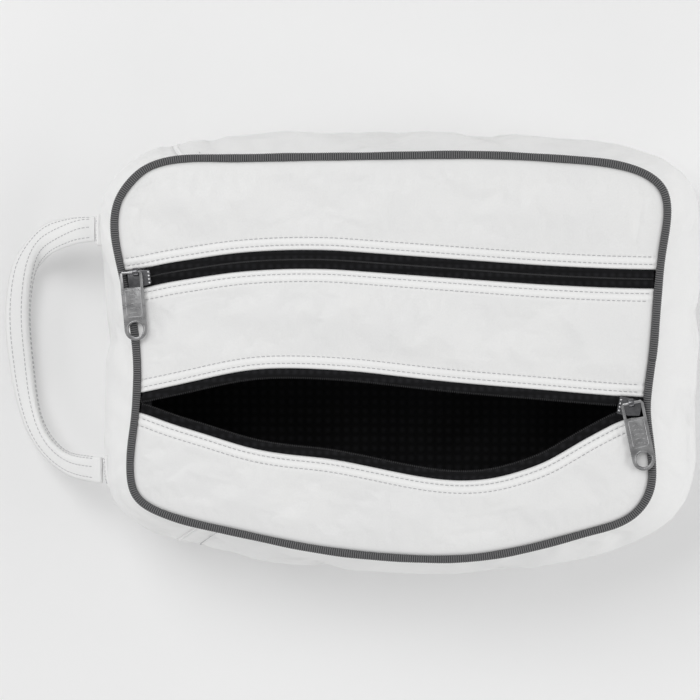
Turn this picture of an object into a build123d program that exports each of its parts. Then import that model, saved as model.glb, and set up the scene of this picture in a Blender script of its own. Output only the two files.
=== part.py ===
from build123d import *
import math
import os

os.makedirs("parts", exist_ok=True)

# Golf shoe bag lying on its back. Millimetres.
# X runs along the bag, Y up the front face, Z out of the front face.
# The origin is the centre of the back panel's outer face.

# ---- driving dimensions ----
DEPTH = 110.0              # back panel's outer face to front panels' outer face
SKIN = 1.6                 # leatherette front panels
BACK_SKIN = 1.8            # back panel
GUSSET_SKIN = 1.8          # side wall
LINING_SKIN = 0.8
LINING_GAP = 2.4           # the lining hangs loosely inside the side wall
PIPING_R = 2.6
PIPING_DROP = 1.0          # front piping's centre below the front face
BACK_PIPING_Z = 3.0
PANEL_INSET = 2.9          # panel edge to the piping's centre line
BACK_A, BACK_B, BACK_POWER = 168.0, 119.0, 5.0
BULGE_RIGHT, BULGE_LEFT = 24.0, 18.0
BULGE_TOP, BULGE_BOTTOM = 17.5, 13.0

UPPER_ZIP_R = 1304.6       # the zips are sewn along shallow arcs
UPPER_ZIP_CENTRE = (2.0, 59.3 - UPPER_ZIP_R)
LOWER_ZIP_R = 854.2
LOWER_ZIP_CENTRE = (-6.94, -13.8 - LOWER_ZIP_R)
ZIP_HALF_BAND = 5.75       # centre of the zip to a panel's folded edge
COIL_NEAR, COIL_FAR = 0.65, 2.9
TAPE_FAR = 12.0
TAPE_Z, TAPE_T = DEPTH - 2.7, 0.6
COIL_Z, COIL_T = DEPTH - 2.0, 2.0

SLIDER_LENGTH, SLIDER_HALF_WIDTH = 14.0, 5.4
SLIDER_TOP_Z, SLIDER_PLATE = DEPTH + 0.4, 1.5
PIVOT_Z = DEPTH + 3.6
BAR_R, BRIDGE_HOLE_R, BRIDGE_R = 0.9, 1.25, 2.5
PULL_LENGTH, PULL_WIDTH, PULL_T = 43.2, 14.0, 1.6
PULL_HOLE_R, PULL_HOLE_END = 4.6, 6.8
WINDOW_WIDTH, WINDOW_LENGTH = 10.4, 10.5

UPPER_SLIDER_X, UPPER_PULL_SHIFT, UPPER_PULL_ANGLE = -153.5, (-1.5, 4.2), 5.0
LOWER_SLIDER_X, LOWER_PULL_SHIFT, LOWER_PULL_ANGLE = 148.2, (0.5, 2.65), 12.0
UPPER_PULL_SIDE, LOWER_PULL_SIDE = -3.0, 0.4

# Centre line of the front piping, anticlockwise from the right-hand side.
FRONT_OUTLINE = [
    (161.9, 0.6), (164.9, 37.8), (168.8, 73.5), (170.8, 93.0), (168.0, 104.5),
    (160.0, 112.6), (148.2, 117.8), (113.8, 123.0), (59.0, 125.9), (18.0, 125.8),
    (-23.4, 125.1), (-62.0, 124.6), (-101.5, 124.0), (-134.3, 122.6), (-150.0, 117.2),
    (-160.2, 108.0), (-167.0, 97.0), (-169.3, 81.8), (-167.3, 65.2), (-159.4, 30.9),
    (-155.4, -6.2), (-157.4, -39.2), (-160.1, -66.4), (-156.3, -84.6), (-138.4, -96.2),
    (-101.4, -105.8), (-46.4, -116.8), (4.1, -122.1), (52.2, -121.8), (93.3, -114.0),
    (127.6, -104.4), (150.6, -94.6), (160.6, -80.0), (162.0, -62.0), (158.9, -28.0),
]

# Folded edge of the lower panel where the lower zip hangs open.
LOWER_LIP = [
    (-170.0, -31.0), (-153.8, -33.2), (-139.6, -37.9), (-112.0, -46.6), (-84.9, -54.6),
    (-60.3, -58.6), (-35.7, -61.2), (-23.4, -63.3), (7.4, -69.5), (38.1, -73.8),
    (62.5, -72.7), (84.8, -66.8), (108.4, -55.6), (120.1, -48.6), (131.9, -41.0),
    (138.0, -36.8), (142.5, -33.9), (148.0, -33.7),
]

# Strap stations: crease, outer edge and inner edge of the folded strap.
STRAP = [
    ((-188.9, 84.8, 57.6), (-188.9, 87.1, 56.8), (-188.9, 71.3, 57.2)),
    ((-197.5, 84.0, 56.2), (-198.2, 86.9, 52.8), (-197.7, 70.3, 54.8)),
    ((-206.2, 80.8, 51.5), (-209.2, 86.0, 44.0), (-207.2, 68.0, 48.0)),
    ((-217.4, 75.2, 42.5), (-223.2, 82.7, 34.0), (-219.1, 63.3, 36.6)),
    ((-227.8, 68.8, 33.0), (-236.8, 72.0, 23.0), (-225.5, 58.8, 25.0)),
    ((-234.2, 56.2, 24.0), (-247.8, 57.0, 15.6), (-233.3, 50.3, 11.0)),
    ((-237.5, 38.5, 18.5), (-252.5, 38.9, 13.0), (-237.6, 36.0, 4.6)),
    ((-238.3, 18.2, 16.0), (-253.7, 17.8, 12.4), (-239.1, 16.7, 1.8)),
    ((-236.6, -3.8, 15.6), (-251.8, -4.5, 12.6), (-237.6, -5.1, 1.6)),
    ((-234.1, -24.6, 18.0), (-248.4, -26.2, 11.6), (-234.9, -25.5, 3.4)),
    ((-229.8, -42.8, 24.0), (-242.1, -47.0, 13.8), (-230.6, -42.4, 10.0)),
    ((-222.0, -56.8, 31.5), (-230.5, -64.9, 21.0), (-222.8, -54.5, 18.6)),
    ((-210.8, -64.9, 40.0), (-216.5, -75.9, 30.6), (-213.0, -62.4, 28.8)),
    ((-198.4, -67.2, 50.6), (-200.0, -80.8, 46.0), (-199.0, -64.6, 45.6)),
    ((-185.4, -67.4, 57.6), (-185.4, -82.1, 56.8), (-185.4, -65.2, 56.8)),
]
STRAP_LAYER = 1.3
TAB_Z, TAB_HALF_HEIGHT = 57.0, 15.0
UPPER_TAB_Y, LOWER_TAB_Y = (69.0, 89.0), (-84.0, -63.0)
GUSSET_SEAM_X = -135.0

GUSSET_Z = (BACK_PIPING_Z + PIPING_R + 0.1, DEPTH - PIPING_DROP - PIPING_R - 0.1)
CLEAR = 0.2


def save(shape, name):
    export_step(shape, f"parts/{name}.step")


def back_point(x, y):
    """Point of the back outline in the same direction as a front point."""
    a = math.atan2(y, x)
    c, s = abs(math.cos(a)) / BACK_A, abs(math.sin(a)) / BACK_B
    r = (c ** BACK_POWER + s ** BACK_POWER) ** (-1 / BACK_POWER)
    return r * math.cos(a), r * math.sin(a)


def inset_points(points, inset):
    """Closed outline moved inwards by inset."""
    out = []
    count = len(points)
    for i, (x, y) in enumerate(points):
        (x0, y0), (x1, y1) = points[i - 1], points[(i + 1) % count]
        length = math.hypot(x1 - x0, y1 - y0)
        out.append((x - inset * (y1 - y0) / length, y + inset * (x1 - x0) / length))
    return out


def section_points(z, inset):
    """Outline of the side wall's middle surface at height z, moved inwards by inset."""
    low, high = GUSSET_Z
    s = (z - low) / (high - low)
    swell = math.sin(math.pi * min(max(s, 0.0), 1.0))
    points = []
    for x, y in FRONT_OUTLINE:
        bx, by = back_point(x, y)
        a = math.atan2(y, x)
        amp_x = BULGE_RIGHT if x > 0 else BULGE_LEFT
        amp_y = BULGE_TOP if y > 0 else BULGE_BOTTOM
        points.append((bx + (x - bx) * s + swell * amp_x * math.cos(a),
                       by + (y - by) * s + swell * amp_y * math.sin(a)))
    return inset_points(points, inset)


def wall_solid(low, high, inset):
    """Solid inside the side wall's surface, between two heights."""
    wires = []
    for k in range(5):
        z = low + (high - low) * k / 4
        knots = [(x, y, z) for x, y in section_points(z, inset)]
        wires.append(Wire([Edge.make_spline([Vector(*p) for p in knots], periodic=True)]))
    return Solid.make_loft(wires)


def wall_shell(low, high, outer, inner):
    return wall_solid(low, high, outer) - wall_solid(low - 1, high + 1, inner)


def outline_face(points, inset=0.0):
    knots = [Vector(x, y, 0) for x, y in inset_points(points, inset)]
    return Face(Wire([Edge.make_spline(knots, periodic=True)]))


def slab(face, z, thickness):
    return extrude(Pos(0, 0, z) * face, thickness, dir=(0, 0, 1))


def disc(centre, radius):
    return Pos(centre[0], centre[1], DEPTH) * Cylinder(radius, 40)


def ring(centre, inner, outer):
    return disc(centre, outer) - disc(centre, inner)


def piping(points, z):
    knots = [Vector(x, y, z) for x, y in points]
    path = Edge.make_spline(knots, periodic=True)
    profile = Plane(origin=path @ 0, z_dir=path % 0) * Circle(PIPING_R)
    return sweep(profile, path=path)


def lip_edge_points():
    """Open lip, ending on the closed line just before the slider."""
    points = list(LOWER_LIP)
    for x in (157.0, 170.0):
        dx = x - LOWER_ZIP_CENTRE[0]
        r = LOWER_ZIP_R - ZIP_HALF_BAND
        points.append((x, LOWER_ZIP_CENTRE[1] + math.sqrt(r * r - dx * dx)))
    return points


def lip_strip(low, high):
    """Strip alongside the open lip between two offsets from it, positive towards the zip."""
    edge = lip_edge_points()
    sides = []
    for offset in (low, high):
        side = []
        for i, (x, y) in enumerate(edge):
            x0, y0 = edge[max(i - 1, 0)]
            x1, y1 = edge[min(i + 1, len(edge) - 1)]
            length = math.hypot(x1 - x0, y1 - y0)
            side.append(Vector(x - offset * (y1 - y0) / length, y + offset * (x1 - x0) / length))
        sides.append(side)
    first, second = Edge.make_spline(sides[0]), Edge.make_spline(sides[1])
    ends = [Edge.make_line(first @ 0, second @ 0), Edge.make_line(first @ 1, second @ 1)]
    return Face(Wire([first, second] + ends))


# ---- body panels ----
front_area = outline_face(FRONT_OUTLINE, PANEL_INSET)
front_sheet = slab(front_area, DEPTH - SKIN, SKIN)
upper_panel = front_sheet - disc(UPPER_ZIP_CENTRE, UPPER_ZIP_R + ZIP_HALF_BAND)
middle_panel = front_sheet & disc(UPPER_ZIP_CENTRE, UPPER_ZIP_R - ZIP_HALF_BAND)
middle_panel = middle_panel - disc(LOWER_ZIP_CENTRE, LOWER_ZIP_R + ZIP_HALF_BAND)
lower_panel = front_sheet & slab(lip_strip(-90, 0), DEPTH - 10, 20)
save(upper_panel, "front_upper_panel")
save(middle_panel, "front_middle_panel")
save(lower_panel, "front_lower_panel")

back_outline = [back_point(x, y) for x, y in FRONT_OUTLINE]
save(slab(outline_face(back_outline, PANEL_INSET), 0, BACK_SKIN), "back_panel")

# ---- side wall: long gusset, and the short one that carries the handle ----
half = GUSSET_SKIN / 2
shell = wall_shell(GUSSET_Z[0], GUSSET_Z[1], -half, half)
handle_side = Pos(GUSSET_SEAM_X - 100, 0, DEPTH / 2) * Box(200 - CLEAR, 400, 200)
long_side = Pos(GUSSET_SEAM_X + 200, 0, DEPTH / 2) * Box(400 - CLEAR, 400, 200)
save(shell & long_side, "main_gusset")
save(shell & handle_side, "handle_end_gusset")
save(piping(FRONT_OUTLINE, DEPTH - PIPING_DROP), "front_piping")
save(piping(back_outline, BACK_PIPING_Z), "back_piping")

# ---- lining, seam bindings and the wall between the two shoe compartments ----
lining_out = half + LINING_GAP
lining_in = lining_out + LINING_SKIN
lining = wall_shell(GUSSET_Z[0] + 0.8, DEPTH - 6.8, lining_out, lining_in)
save(lining, "gusset_lining")
back_lining_z = BACK_SKIN + 0.3
save(slab(outline_face(back_outline, PANEL_INSET + 0.5), back_lining_z, LINING_SKIN), "back_lining")
BINDING_Z = (DEPTH - 6.0, BACK_PIPING_Z + 0.2)
for name, points, z in (("front_seam_binding", FRONT_OUTLINE, BINDING_Z[0]),
                        ("back_seam_binding", back_outline, BINDING_Z[1])):
    band = slab(outline_face(points, 4.4), z, LINING_SKIN)
    save(band - slab(outline_face(points, 9.0), z - 1, 3), name)
DIVIDER_Y, DIVIDER_T = 20.0, 1.2
divider_z = (BINDING_Z[1] + 1.2, BINDING_Z[0] - 0.4)
divider_height = divider_z[1] - divider_z[0]
divider_box = Pos(0, DIVIDER_Y, sum(divider_z) / 2) * Box(400, DIVIDER_T, divider_height)
save(wall_solid(GUSSET_Z[0], GUSSET_Z[1], lining_in + 0.4) & divider_box, "divider_panel")

# ---- zips: tapes under the panels' folded edges, coils between them ----
zip_area = outline_face(FRONT_OUTLINE, PANEL_INSET + 0.4)
tape_sheet = slab(zip_area, TAPE_Z, TAPE_T)
coil_sheet = slab(zip_area, COIL_Z, COIL_T)
for zip_name, centre, radius in (("upper_zip", UPPER_ZIP_CENTRE, UPPER_ZIP_R),
                                 ("lower_zip", LOWER_ZIP_CENTRE, LOWER_ZIP_R)):
    save(tape_sheet & ring(centre, radius + COIL_NEAR, radius + TAPE_FAR), zip_name + "_upper_tape")
    save(coil_sheet & ring(centre, radius + COIL_NEAR, radius + COIL_FAR), zip_name + "_upper_coil")
closed = (UPPER_ZIP_CENTRE, UPPER_ZIP_R - TAPE_FAR, UPPER_ZIP_R - COIL_NEAR)
save(tape_sheet & ring(*closed), "upper_zip_lower_tape")
closed = (UPPER_ZIP_CENTRE, UPPER_ZIP_R - COIL_FAR, UPPER_ZIP_R - COIL_NEAR)
save(coil_sheet & ring(*closed), "upper_zip_lower_coil")
lip_tape = slab(lip_strip(ZIP_HALF_BAND - TAPE_FAR, ZIP_HALF_BAND - COIL_NEAR), TAPE_Z, TAPE_T)
save(lip_tape & tape_sheet, "lower_zip_lower_tape")
lip_coil = slab(lip_strip(ZIP_HALF_BAND - COIL_FAR, ZIP_HALF_BAND - COIL_NEAR), COIL_Z, COIL_T)
save(lip_coil & coil_sheet, "lower_zip_lower_coil")


# ---- sliders and pulls ----
def zip_frame(x, centre, radius):
    """Frame on a zip's centre line: X along the zip, Y across it."""
    dx = x - centre[0]
    dy = math.sqrt(radius * radius - dx * dx)
    return Plane(origin=(x, centre[1] + dy, 0), x_dir=(dy, -dx, 0), z_dir=(0, 0, 1))


def slider_body():
    """Plates above and below the tapes, joined by a thin neck between the coils."""
    l, w = SLIDER_LENGTH / 2, SLIDER_HALF_WIDTH
    plan = make_face(Polyline((-l, -w), (0, -w), (l, -w + 1.2), (l, w - 1.2), (0, w), (-l, w), close=True))
    plan = fillet(plan.vertices(), 0.8)
    top = slab(plan, SLIDER_TOP_Z, SLIDER_PLATE)
    bottom = slab(plan, TAPE_Z - 2.0, 1.4)
    body = top + bottom
    for side in (-1, 1):
        flange = Pos(0.3 - l / 2, side * (w - 0.45), SLIDER_TOP_Z - 0.7) * Box(l - 1.6, 0.9, 1.4)
        body += flange
    neck_low, neck_high = TAPE_Z - 0.7, SLIDER_TOP_Z + 0.1
    neck = Pos(-l + 2.6, 0, (neck_low + neck_high) / 2) * Box(4, 0.6, neck_high - neck_low)
    return body + neck


def slider_bridge():
    """Arch that the pull's bar turns in; the bar runs along X."""
    foot_z = SLIDER_TOP_Z + SLIDER_PLATE
    arch = Circle(BRIDGE_R) + Pos(0, (foot_z - PIVOT_Z) / 2) * Rectangle(2 * BRIDGE_R, PIVOT_Z - foot_z)
    slot = Circle(BRIDGE_HOLE_R)
    slot += Pos(0, (foot_z - PIVOT_Z) / 2) * Rectangle(2 * BRIDGE_HOLE_R, PIVOT_Z - foot_z)
    arch = (arch - slot) & (Pos(0, 2) * Rectangle(20, 2 * (2 + PIVOT_Z - foot_z)))
    return extrude(Plane.YZ * arch, 1.8, both=True)


def pull_tab():
    """Flat pull hanging towards -Y from a round bar on the pivot line."""
    straight = PULL_LENGTH - PULL_WIDTH / 2
    plate = Pos(0, 1.0 - straight / 2) * RectangleRounded(PULL_WIDTH, straight, 3.0)
    plate += Pos(0, 4.0 - straight) * Rectangle(PULL_WIDTH, 6.0)
    plate += Pos(0, 1.0 - straight) * Circle(PULL_WIDTH / 2)
    plate -= Pos(0, 1.5 - WINDOW_LENGTH / 2) * Rectangle(WINDOW_WIDTH, WINDOW_LENGTH + 1)
    plate -= Pos(0, 1.0 - PULL_LENGTH + PULL_HOLE_END) * Circle(PULL_HOLE_R)
    solid = extrude(plate, PULL_T / 2, both=True)
    return solid + Rot(0, 90, 0) * Cylinder(BAR_R, WINDOW_WIDTH + 0.8)


for name, x, centre, radius, shift, turn, side in (
        ("upper", UPPER_SLIDER_X, UPPER_ZIP_CENTRE, UPPER_ZIP_R,
         UPPER_PULL_SHIFT, UPPER_PULL_ANGLE, UPPER_PULL_SIDE),
        ("lower", LOWER_SLIDER_X, LOWER_ZIP_CENTRE, LOWER_ZIP_R,
         LOWER_PULL_SHIFT, LOWER_PULL_ANGLE, LOWER_PULL_SIDE)):
    frame = zip_frame(x, centre, radius)
    save(frame.location * slider_body(), name + "_slider_body")
    pivot = frame.from_local_coords((shift[0], shift[1], PIVOT_Z))
    place = Pos(pivot) * Rot(0, 0, turn)
    save(place * slider_bridge(), name + "_slider_bridge")
    save(place * Pos(side, 0, 0) * pull_tab(), name + "_pull_tab")
    print(name, "pivot", pivot, "direction", turn)


# ---- wrist strap and the tabs that hold it ----
def unit(v):
    return v * (1 / v.length)


def strap_section(i, top, bottom):
    """Chevron across the strap between two depths below its visible surface."""
    crease, outer, inner = (Vector(*p) for p in STRAP[i])
    along = unit(Vector(*STRAP[min(i + 1, len(STRAP) - 1)][0]) - Vector(*STRAP[max(i - 1, 0)][0]))
    out_normal = unit((outer - crease).cross(along))
    in_normal = unit(along.cross(inner - crease))
    if out_normal.Z > 0 or (out_normal + in_normal).Z > 0:
        out_normal, in_normal = out_normal * -1, in_normal * -1
    mitre = unit(out_normal + in_normal)
    mitre = mitre * (1 / max(mitre.dot(in_normal), 0.5))
    loop = [outer + out_normal * top, crease + mitre * top, inner + in_normal * top,
            inner + in_normal * bottom, crease + mitre * bottom, outer + out_normal * bottom]
    loop = [p - along * (p - crease).dot(along) for p in loop]
    return Wire.make_polygon(loop, close=True)


def strap_layer(top, bottom):
    wires = [strap_section(i, top, bottom) for i in range(len(STRAP))]
    return Solid.make_loft(wires, ruled=True)


save(strap_layer(0, STRAP_LAYER), "handle_strap")
save(strap_layer(STRAP_LAYER + 0.1, 2 * STRAP_LAYER), "handle_strap_backing")
tab_shell = wall_shell(TAB_Z - 30, TAB_Z + 30, -half - 0.2 - STRAP_LAYER, -half - 0.2)
patch_shell = wall_shell(TAB_Z - 30, TAB_Z + 30, half + 0.6, half + 1.8)
for name, (low, high) in (("upper", UPPER_TAB_Y), ("lower", LOWER_TAB_Y)):
    block = Pos(-175, (low + high) / 2, TAB_Z) * Box(80, high - low, 2 * TAB_HALF_HEIGHT)
    save(tab_shell & block, f"handle_{name}_tab")
    save(patch_shell & block, f"handle_{name}_patch")
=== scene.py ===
import math

import bpy
import bmesh
import numpy as np
from mathutils import Matrix, Vector, noise
from mathutils.bvhtree import BVHTree


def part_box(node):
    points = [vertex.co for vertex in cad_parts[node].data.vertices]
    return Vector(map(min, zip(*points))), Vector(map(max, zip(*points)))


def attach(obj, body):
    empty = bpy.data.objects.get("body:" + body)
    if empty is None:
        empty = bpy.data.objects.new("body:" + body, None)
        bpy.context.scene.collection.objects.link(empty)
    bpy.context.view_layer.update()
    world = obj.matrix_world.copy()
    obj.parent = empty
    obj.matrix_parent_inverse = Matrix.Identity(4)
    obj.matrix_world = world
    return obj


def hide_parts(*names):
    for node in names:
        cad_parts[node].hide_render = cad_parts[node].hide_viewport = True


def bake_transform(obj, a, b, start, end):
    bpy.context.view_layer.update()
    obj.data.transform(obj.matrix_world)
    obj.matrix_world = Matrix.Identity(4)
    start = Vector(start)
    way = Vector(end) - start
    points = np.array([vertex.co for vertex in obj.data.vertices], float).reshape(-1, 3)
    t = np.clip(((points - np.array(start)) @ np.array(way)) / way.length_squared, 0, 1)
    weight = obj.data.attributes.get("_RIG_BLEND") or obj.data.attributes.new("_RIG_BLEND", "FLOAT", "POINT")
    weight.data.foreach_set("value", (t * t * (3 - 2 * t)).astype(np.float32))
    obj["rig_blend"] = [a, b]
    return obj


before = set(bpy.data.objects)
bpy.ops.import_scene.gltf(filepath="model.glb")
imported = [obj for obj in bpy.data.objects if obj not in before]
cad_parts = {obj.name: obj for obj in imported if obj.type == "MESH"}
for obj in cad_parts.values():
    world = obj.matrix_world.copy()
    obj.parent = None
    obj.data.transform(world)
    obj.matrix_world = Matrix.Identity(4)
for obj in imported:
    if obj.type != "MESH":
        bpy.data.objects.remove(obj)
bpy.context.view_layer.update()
MM = 0.001

# ---------------------------------------------------------------- dimensions
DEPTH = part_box("front_upper_panel")[1].z / MM
PIPING_R = 2.6
FRONT_PIPING_Z = DEPTH - 1.0
BACK_PIPING_Z = 3.0
BACK_A, BACK_B, BACK_POWER = 168.0, 119.0, 5.0
BULGE = (24.0, 18.0, 17.5, 13.0)          # right, left, top, bottom
# The sewn zips sag away from their arcs by up to 5 mm: the upper zip's centre line, and the
# folded edge above the lower zip.
UPPER_ZIP_POINTS = [
    (-185.0, 45.5), (-172.0, 47.2), (-159.9, 48.9), (-152.5, 50.0), (-137.8, 53.0), (-123.0, 55.5),
    (-108.2, 57.8), (-93.5, 59.7), (-78.7, 60.9), (-64.0, 61.6), (-49.2, 61.8), (-34.4, 61.5),
    (-19.7, 60.6), (2.5, 59.0), (32.0, 56.9), (61.5, 54.8), (91.0, 52.8), (120.5, 51.3),
    (142.7, 50.5), (157.4, 50.2), (172.0, 50.0), (185.0, 49.9),
]
LOWER_FOLD_POINTS = [
    (-185.0, -28.0), (-172.0, -25.2), (-152.5, -20.8), (-137.8, -17.6), (-123.0, -14.3), (-108.2, -10.9),
    (-93.5, -7.9), (-78.7, -6.0), (-64.0, -5.4), (-49.2, -5.6), (-34.4, -6.3), (-19.7, -7.3),
    (2.5, -9.6), (32.0, -12.8), (61.5, -15.4), (91.0, -17.7), (120.5, -20.1), (142.7, -21.7),
    (157.4, -22.4), (172.0, -22.8), (185.0, -23.0),
]
HALF_BAND = 5.75
LIP_TRAVEL = 53.0
GUSSET_Z = (5.7, 106.3)
PIVOT_Z, PULL_FACE = 113.6, 0.8      # pull's bar, and its face above that

FRONT_OUTLINE = [
    (161.9, 0.6), (164.9, 37.8), (168.8, 73.5), (170.8, 93.0), (168.0, 104.5),
    (160.0, 112.6), (148.2, 117.8), (113.8, 123.0), (59.0, 125.9), (18.0, 125.8),
    (-23.4, 125.1), (-62.0, 124.6), (-101.5, 124.0), (-134.3, 122.6), (-150.0, 117.2),
    (-160.2, 108.0), (-167.0, 97.0), (-169.3, 81.8), (-167.3, 65.2), (-159.4, 30.9),
    (-155.4, -6.2), (-157.4, -39.2), (-160.1, -66.4), (-156.3, -84.6), (-138.4, -96.2),
    (-101.4, -105.8), (-46.4, -116.8), (4.1, -122.1), (52.2, -121.8), (93.3, -114.0),
    (127.6, -104.4), (150.6, -94.6), (160.6, -80.0), (162.0, -62.0), (158.9, -28.0),
]
LOWER_LIP = [
    (-170.0, -31.6), (-153.8, -33.2), (-139.6, -37.9), (-112.0, -46.6), (-84.9, -54.6),
    (-60.3, -58.6), (-35.7, -61.2), (-23.4, -63.3), (7.4, -69.5), (38.1, -73.8),
    (62.5, -72.7), (73.1, -70.4), (84.8, -66.8), (96.6, -62.1), (108.4, -55.6), (120.1, -48.6),
    (131.9, -42.1),
    (143.7, -36.5), (150.0, -34.8), (157.0, -34.2), (170.0, -34.4), (185.0, -34.5),
]
STRAP = [
    ((-188.9, 84.8, 57.6), (-188.9, 87.1, 56.8), (-188.9, 71.3, 57.2)),
    ((-197.5, 84.0, 56.2), (-198.2, 86.9, 52.8), (-197.7, 70.3, 54.8)),
    ((-206.2, 80.8, 51.5), (-209.2, 86.0, 44.0), (-207.2, 68.0, 48.0)),
    ((-217.4, 75.2, 42.5), (-223.2, 82.7, 34.0), (-219.1, 63.3, 36.6)),
    ((-227.8, 68.8, 33.0), (-236.8, 72.0, 23.0), (-225.5, 58.8, 25.0)),
    ((-234.2, 56.2, 24.0), (-247.8, 57.0, 15.6), (-233.3, 50.3, 11.0)),
    ((-237.5, 38.5, 18.5), (-252.5, 38.9, 13.0), (-237.6, 36.0, 4.6)),
    ((-238.3, 18.2, 16.0), (-253.7, 17.8, 12.4), (-239.1, 16.7, 1.8)),
    ((-236.6, -3.8, 15.6), (-251.8, -4.5, 12.6), (-237.6, -5.1, 1.6)),
    ((-234.1, -24.6, 18.0), (-248.4, -26.2, 11.6), (-234.9, -25.5, 3.4)),
    ((-229.8, -42.8, 24.0), (-242.1, -47.0, 13.8), (-230.6, -42.4, 10.0)),
    ((-222.0, -56.8, 31.5), (-230.5, -64.9, 21.0), (-222.8, -54.5, 18.6)),
    ((-210.8, -64.9, 40.0), (-216.5, -75.9, 30.6), (-213.0, -62.4, 28.8)),
    ((-198.4, -67.2, 50.6), (-200.0, -80.8, 46.0), (-199.0, -64.6, 45.6)),
    ((-185.4, -67.4, 57.6), (-185.4, -82.1, 56.8), (-185.4, -65.2, 56.8)),
]


# ---------------------------------------------------------------- curve helpers
def cubic_span(p0, p1, m0, m1, h, t):
    """Points at t along one spline span of length h, with second derivatives m0 and m1."""
    r = h - t
    return (m0 * r ** 3 / (6 * h) + m1 * t ** 3 / (6 * h)
            + (p0 / h - m0 * h / 6) * r + (p1 / h - m1 * h / 6) * t)


def periodic_spline(points, per_span):
    """Smooth closed curve through points, per_span samples between neighbours."""
    p = np.array(points, float)
    n = len(p)
    h = np.linalg.norm(np.roll(p, -1, 0) - p, axis=1)
    a = np.zeros((n, n))
    b = np.zeros_like(p)
    for i in range(n):
        h0, h1 = h[i - 1], h[i]
        a[i, i - 1] += h0
        a[i, i] += 2 * (h0 + h1)
        a[i, (i + 1) % n] += h1
        b[i] = 6 * ((p[(i + 1) % n] - p[i]) / h1 - (p[i] - p[i - 1]) / h0)
    m = np.linalg.solve(a, b)
    out = []
    for i in range(n):
        j = (i + 1) % n
        t = np.arange(per_span)[:, None] / per_span * h[i]
        out.append(cubic_span(p[i], p[j], m[i], m[j], h[i], t))
    return np.vstack(out)


def open_spline(points, per_span):
    """Smooth open curve through points."""
    p = np.array(points, float)
    n = len(p)
    h = np.linalg.norm(p[1:] - p[:-1], axis=1)
    a = np.zeros((n, n))
    b = np.zeros_like(p)
    a[0, 0] = a[-1, -1] = 1
    for i in range(1, n - 1):
        a[i, i - 1], a[i, i], a[i, i + 1] = h[i - 1], 2 * (h[i - 1] + h[i]), h[i]
        b[i] = 6 * ((p[i + 1] - p[i]) / h[i] - (p[i] - p[i - 1]) / h[i - 1])
    m = np.linalg.solve(a, b)
    out = []
    for i in range(n - 1):
        count = per_span + (1 if i == n - 2 else 0)
        t = np.arange(count)[:, None] / per_span * h[i]
        out.append(cubic_span(p[i], p[i + 1], m[i], m[i + 1], h[i], t))
    return np.vstack(out)


def lengths(p):
    """Distance along a polyline at each of its points."""
    return np.concatenate([[0], np.cumsum(np.linalg.norm(p[1:] - p[:-1], axis=1))])


def resample(points, count, closed=False):
    p = np.array(points, float)
    if closed:
        p = np.vstack([p, p[:1]])
    d = lengths(p)
    t = np.linspace(0, d[-1], count + 1 if closed else count)
    if closed:
        t = t[:-1]
    return np.stack([np.interp(t, d, p[:, k]) for k in range(p.shape[1])], 1)


def along(points, values):
    """Points at given distances along a polyline."""
    p = np.array(points, float)
    d = lengths(p)
    return np.stack([np.interp(values, d, p[:, k]) for k in range(p.shape[1])], 1), d[-1]


def inset_loop(points, inset):
    p = np.array(points, float)
    t = np.roll(p, -1, 0) - np.roll(p, 1, 0)
    t /= np.linalg.norm(t, axis=1)[:, None]
    return p + inset * np.stack([-t[:, 1], t[:, 0]], 1)


def offset_open(points, offset):
    """Open polyline moved to its left by offset."""
    p = np.array(points, float)
    t = np.gradient(p, axis=0)
    t /= np.linalg.norm(t, axis=1)[:, None]
    return p + offset * np.stack([-t[:, 1], t[:, 0]], 1)


def polyline_distance(xy, line):
    """Distance from each point to a polyline."""
    a, b = line[:-1], line[1:]
    ab = b - a
    best = np.full(len(xy), 1e9)
    den = (ab ** 2).sum(1)
    for i in range(len(a)):
        t = np.clip(((xy - a[i]) @ ab[i]) / den[i], 0, 1)
        best = np.minimum(best, np.linalg.norm(xy - a[i] - t[:, None] * ab[i], axis=1))
    return best


def back_point(x, y):
    a = math.atan2(y, x)
    c, s = abs(math.cos(a)) / BACK_A, abs(math.sin(a)) / BACK_B
    r = (c ** BACK_POWER + s ** BACK_POWER) ** (-1 / BACK_POWER)
    return r * math.cos(a), r * math.sin(a)


def wall_loop(z, inset, per_span=12):
    """Side wall's middle surface at height z, moved inwards by inset."""
    low, high = GUSSET_Z
    s = (z - low) / (high - low)
    swell = math.sin(math.pi * min(max(s, 0.0), 1.0))
    points = []
    for x, y in FRONT_OUTLINE:
        bx, by = back_point(x, y)
        a = math.atan2(y, x)
        ax = BULGE[0] if x > 0 else BULGE[1]
        ay = BULGE[2] if y > 0 else BULGE[3]
        points.append((bx + (x - bx) * s + swell * ax * math.cos(a),
                       by + (y - by) * s + swell * ay * math.sin(a)))
    return periodic_spline(inset_loop(points, inset), per_span)


def soft_noise(x, y, z, scale, seed):
    return np.array([noise.noise(Vector((a / scale + seed, b / scale, c / scale)))
                     for a, b, c in zip(x, y, z)])


FRONT_LOOP = periodic_spline(FRONT_OUTLINE, 40)
BACK_LOOP = periodic_spline([back_point(x, y) for x, y in FRONT_OUTLINE], 40)
PANEL_LOOP = inset_loop(FRONT_LOOP, 2.0)
UPPER_MID = open_spline(UPPER_ZIP_POINTS, 16)
LOWER_MID = offset_open(open_spline(LOWER_FOLD_POINTS, 16), -HALF_BAND)
LIP_LINE = open_spline(LOWER_LIP, 14)
LIP_CLOSED = offset_open(LOWER_MID, -HALF_BAND)


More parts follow.
